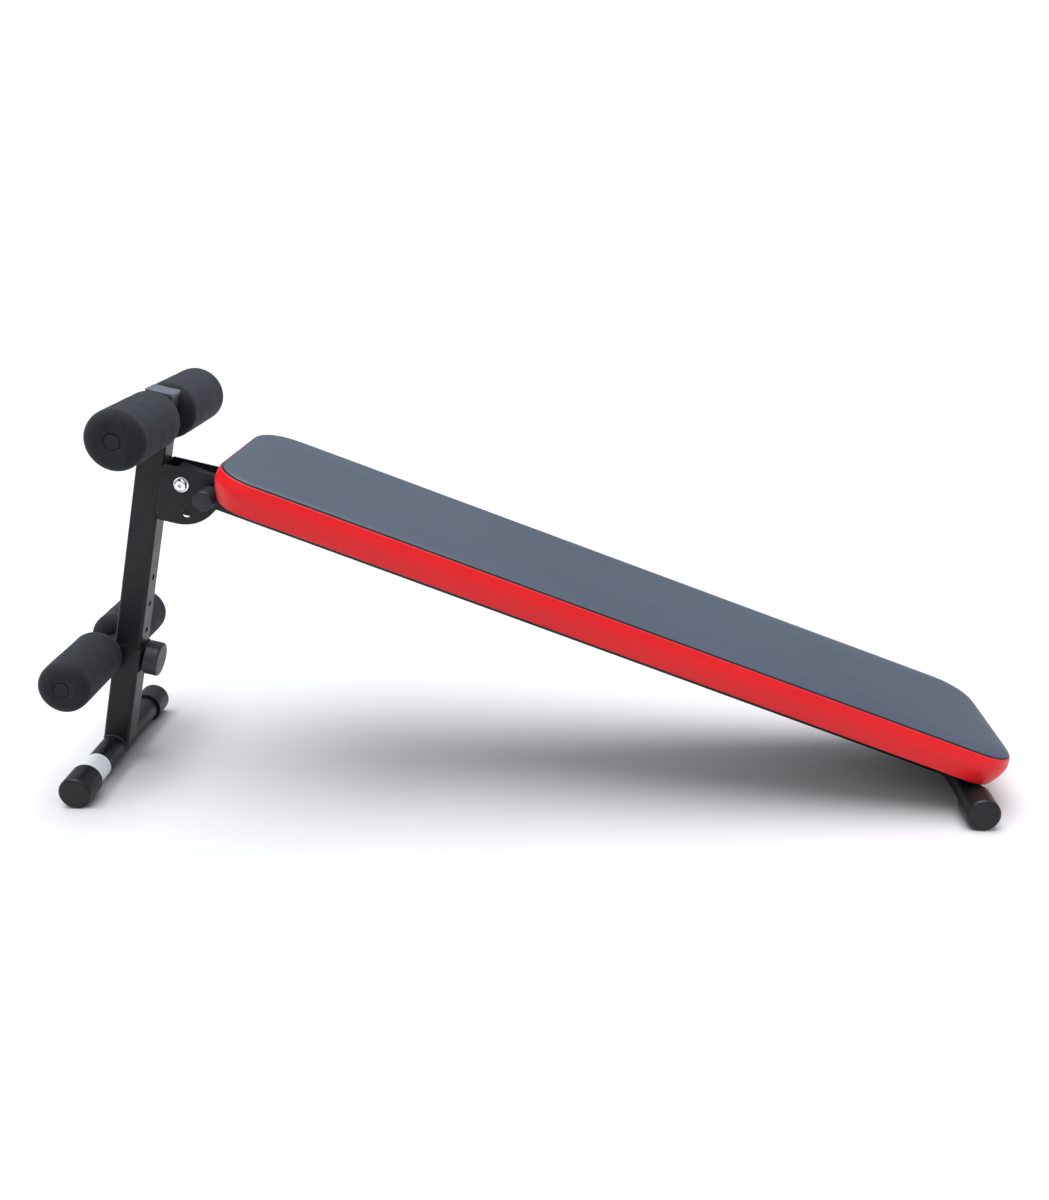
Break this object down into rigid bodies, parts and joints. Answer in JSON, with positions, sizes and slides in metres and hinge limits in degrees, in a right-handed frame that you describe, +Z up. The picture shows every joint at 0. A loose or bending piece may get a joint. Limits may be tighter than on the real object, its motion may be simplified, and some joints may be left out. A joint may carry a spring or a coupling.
{
  "type": "sit-up bench",
  "caption": "Folding decline sit-up bench: red and black vinyl pad on a sloping beam, hinged to a leaning upright with foam leg rollers on a sliding carriage.",
  "frame": {"origin": "on the floor, under the middle of the whole bench", "axes": "+X along the bench from the upright to the rear foot, +Y to the user's right, +Z up"},
  "size_m": [1.3242, 0.366, 0.5582],
  "materials": {
    "frame_paint": "satin black powder coat",
    "cap_plastic": "black moulded plastic, slight sheen",
    "knob_plastic": "black moulded plastic, fine texture",
    "roller_foam": "black closed-cell foam, matte with fine cells",
    "pad_vinyl": "charcoal synthetic leather top with red synthetic leather sides",
    "board": "wood board with black backing cloth",
    "nylon": "black nylon",
    "chrome": "bright chrome plate",
    "zinc_steel": "zinc plated steel",
    "label": "blank white paper-film sticker"
  },
  "bodies": {
    "bench": {"main_beam": "frame_paint", "beam_end_plug": "cap_plastic", "hinge_sleeve": "zinc_steel", "rear_foot_tube": "frame_paint", "rear_foot_cap_left": "cap_plastic", "rear_foot_cap_right": "cap_plastic", "pad_plate_front": "frame_paint", "pad_plate_rear": "frame_paint", "pad_screws_front": "zinc_steel", "pad_screws_rear": "zinc_steel", "pad_board": "board", "pad_cushion": "pad_vinyl"},
    "upright": {"front_foot_tube": "frame_paint", "front_foot_cap_left": "cap_plastic", "front_foot_cap_right": "cap_plastic", "foot_label": "label", "upright_tube": "frame_paint", "upright_top_cap": "cap_plastic", "hinge_bracket": "frame_paint", "pivot_bolt": "chrome", "pivot_nut": "chrome", "bolt_washer": "chrome", "nut_washer": "chrome", "hinge_spacer_left": "nylon", "hinge_spacer_right": "nylon", "lock_barrel": "frame_paint", "lock_spring": "zinc_steel", "upper_axle": "frame_paint", "upper_axle_plug_left": "cap_plastic", "upper_axle_plug_right": "cap_plastic"},
    "upper_roller_left": {"upper_foam_left": "roller_foam"},
    "upper_roller_right": {"upper_foam_right": "roller_foam"},
    "carriage": {"carriage_sleeve": "frame_paint", "carriage_liner": "nylon", "carriage_plunger_barrel": "frame_paint", "carriage_plunger_spring": "zinc_steel", "lower_axle": "frame_paint", "lower_axle_plug_left": "cap_plastic", "lower_axle_plug_right": "cap_plastic"},
    "lower_roller_left": {"lower_foam_left": "roller_foam"},
    "lower_roller_right": {"lower_foam_right": "roller_foam"},
    "carriage_plunger": {"carriage_plunger_pin": "zinc_steel", "carriage_plunger_knob": "knob_plastic"},
    "lock_plunger": {"lock_pin": "zinc_steel", "lock_knob": "knob_plastic"}
  },
  "joints": [
    {"name": "fold", "type": "hinge", "parent": "bench", "child": "upright", "pos_m": [-0.48349, 0, 0.42669], "axis": [0, -1, 0], "range_deg": [0, 66]},
    {"name": "carriage_slide", "type": "slide", "parent": "upright", "child": "carriage", "axis": [0.2207, 0, 0.9753], "range_m": [0, 0.1245]},
    {"name": "carriage_plunger_pull", "type": "slide", "parent": "carriage", "child": "carriage_plunger", "axis": [0.9753, 0, -0.2207], "range_m": [0, 0.006], "stiffness_N_per_m": 800, "springref_m": -0.005, "deforming": ["carriage_plunger_spring"]},
    {"name": "lock_pull", "type": "slide", "parent": "upright", "child": "lock_plunger", "axis": [0, -1, 0], "range_m": [0, 0.006], "stiffness_N_per_m": 800, "springref_m": -0.005, "deforming": ["lock_spring"]},
    {"name": "upper_roller_left_spin", "type": "hinge", "parent": "upright", "child": "upper_roller_left", "pos_m": [-0.51199, 0, 0.51824], "axis": [0, 1, 0], "continuous": true},
    {"name": "upper_roller_right_spin", "type": "hinge", "parent": "upright", "child": "upper_roller_right", "pos_m": [-0.51199, 0, 0.51824], "axis": [0, 1, 0], "continuous": true},
    {"name": "lower_roller_left_spin", "type": "hinge", "parent": "carriage", "child": "lower_roller_left", "pos_m": [-0.62562, 0, 0.1769], "axis": [0, 1, 0], "continuous": true},
    {"name": "lower_roller_right_spin", "type": "hinge", "parent": "carriage", "child": "lower_roller_right", "pos_m": [-0.62562, 0, 0.1769], "axis": [0, 1, 0], "continuous": true}
  ]
}
